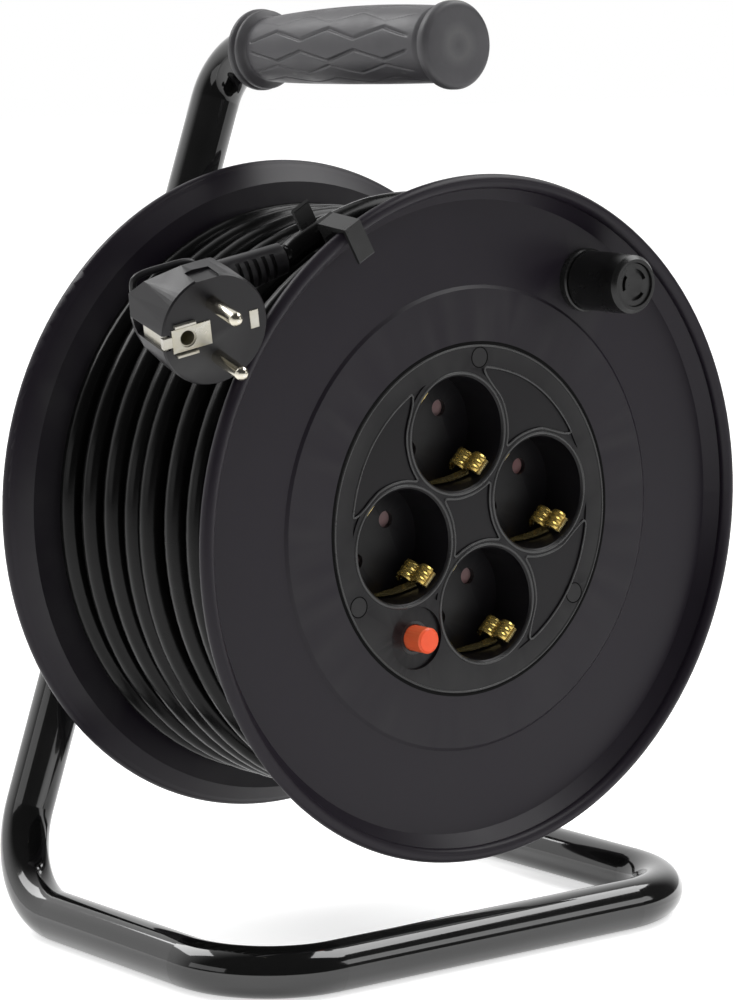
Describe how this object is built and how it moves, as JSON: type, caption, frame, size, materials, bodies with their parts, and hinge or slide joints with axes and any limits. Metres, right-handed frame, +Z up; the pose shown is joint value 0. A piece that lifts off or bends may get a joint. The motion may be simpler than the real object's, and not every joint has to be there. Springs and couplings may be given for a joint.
{
  "type": "extension cord reel",
  "caption": "Wound extension cable on a drum with a crank knob and earthed sockets, turning on a bent tube stand.",
  "frame": {"origin": "on the floor, under the middle of the reel without its cord", "axes": "+X across, +Y from the socket side to the back, +Z up; the drum turns about +Y"},
  "size_m": [0.2565, 0.1863, 0.3344],
  "materials": {
    "black_paint": "gloss powder coat",
    "grip_rubber": "ribbed, matte",
    "drum_plastic": "fine satin moulding",
    "panel_plastic": "satin moulding",
    "black_plastic": "smooth",
    "plug_plastic": "moulded, matte",
    "cable_sheath": "smooth sheath with a slight sheen",
    "zinc_steel": "zinc plated",
    "white_plastic": "natural",
    "brass": "stamped",
    "nickel_pins": "nickel plated",
    "red_button": "smooth",
    "shutter_plastic": "smooth",
    "brown_wire": "smooth",
    "blue_wire": "smooth",
    "green_wire": "smooth"
  },
  "bodies": {
    "stand": {"frame_tube": "black_paint", "tube_end_plug": "black_plastic", "handle_grip": "grip_rubber", "bearing_plate": "black_paint", "plate_bolts": "zinc_steel", "plate_nuts": "zinc_steel", "axle_shaft": "zinc_steel", "thrust_washer": "white_plastic", "retaining_clip": "zinc_steel"},
    "drum": {"rear_flange": "drum_plastic", "hub_bush": "white_plastic", "drum_core": "drum_plastic", "front_flange": "drum_plastic", "drum_screws": "zinc_steel", "socket_panel": "panel_plastic", "panel_screws": "zinc_steel", "screw_caps": "panel_plastic", "panel_back_cover": "panel_plastic", "thermal_breaker": "black_plastic", "knob_pin": "black_plastic", "plug_clip": "black_plastic", "contact_carrier": "panel_plastic", "earth_clips_1": "brass", "earth_clips_2": "brass", "earth_clips_3": "brass", "earth_clips_4": "brass", "live_busbar": "brass", "neutral_busbar": "brass", "earth_busbar": "brass", "button_spring": "zinc_steel", "cable_gland": "black_plastic", "inner_cable": "cable_sheath", "wire_live": "brown_wire", "wire_neutral": "blue_wire", "wire_earth": "green_wire", "cover_screw": "zinc_steel", "cable_core": "cable_sheath", "cable_winding": "cable_sheath", "cable_lead": "cable_sheath", "plug_strain_relief": "plug_plastic", "plug_body": "plug_plastic", "plug_pins": "nickel_pins", "plug_earth_contacts": "nickel_pins"},
    "knob": {"crank_knob": "black_plastic"},
    "button": {"reset_button": "red_button"},
    "shutter_1": {"shutter_1": "shutter_plastic"},
    "shutter_2": {"shutter_2": "shutter_plastic"},
    "shutter_3": {"shutter_3": "shutter_plastic"},
    "shutter_4": {"shutter_4": "shutter_plastic"}
  },
  "joints": [
    {"name": "drum_spin", "type": "hinge", "parent": "stand", "child": "drum", "pos_m": [0, -0.011, 0.1556], "axis": [0, 1, 0], "range_deg": [-88, 46]},
    {"name": "knob_spin", "type": "hinge", "parent": "drum", "child": "knob", "pos_m": [0.05142, -0.079, 0.23631], "axis": [0, 1, 0], "continuous": true},
    {"name": "reset_press", "type": "slide", "parent": "drum", "child": "button", "axis": [0, 1, 0], "range_m": [0, 0.003], "stiffness_N_per_m": 400, "springref_m": -0.003, "deforming": ["button_spring"]},
    {"name": "shutter_1_turn", "type": "hinge", "parent": "drum", "child": "shutter_1", "pos_m": [0.03046, -0.0431, 0.16235], "axis": [0, 1, 0], "range_deg": [0, 40], "stiffness_Nm_per_rad": 0.01},
    {"name": "shutter_2_turn", "type": "hinge", "parent": "drum", "child": "shutter_2", "pos_m": [-0.00675, -0.0431, 0.18606], "axis": [0, 1, 0], "range_deg": [0, 40], "stiffness_Nm_per_rad": 0.01},
    {"name": "shutter_3_turn", "type": "hinge", "parent": "drum", "child": "shutter_3", "pos_m": [-0.03046, -0.0431, 0.14885], "axis": [0, 1, 0], "range_deg": [0, 40], "stiffness_Nm_per_rad": 0.01},
    {"name": "shutter_4_turn", "type": "hinge", "parent": "drum", "child": "shutter_4", "pos_m": [0.00675, -0.0431, 0.12514], "axis": [0, 1, 0], "range_deg": [0, 40], "stiffness_Nm_per_rad": 0.01}
  ]
}
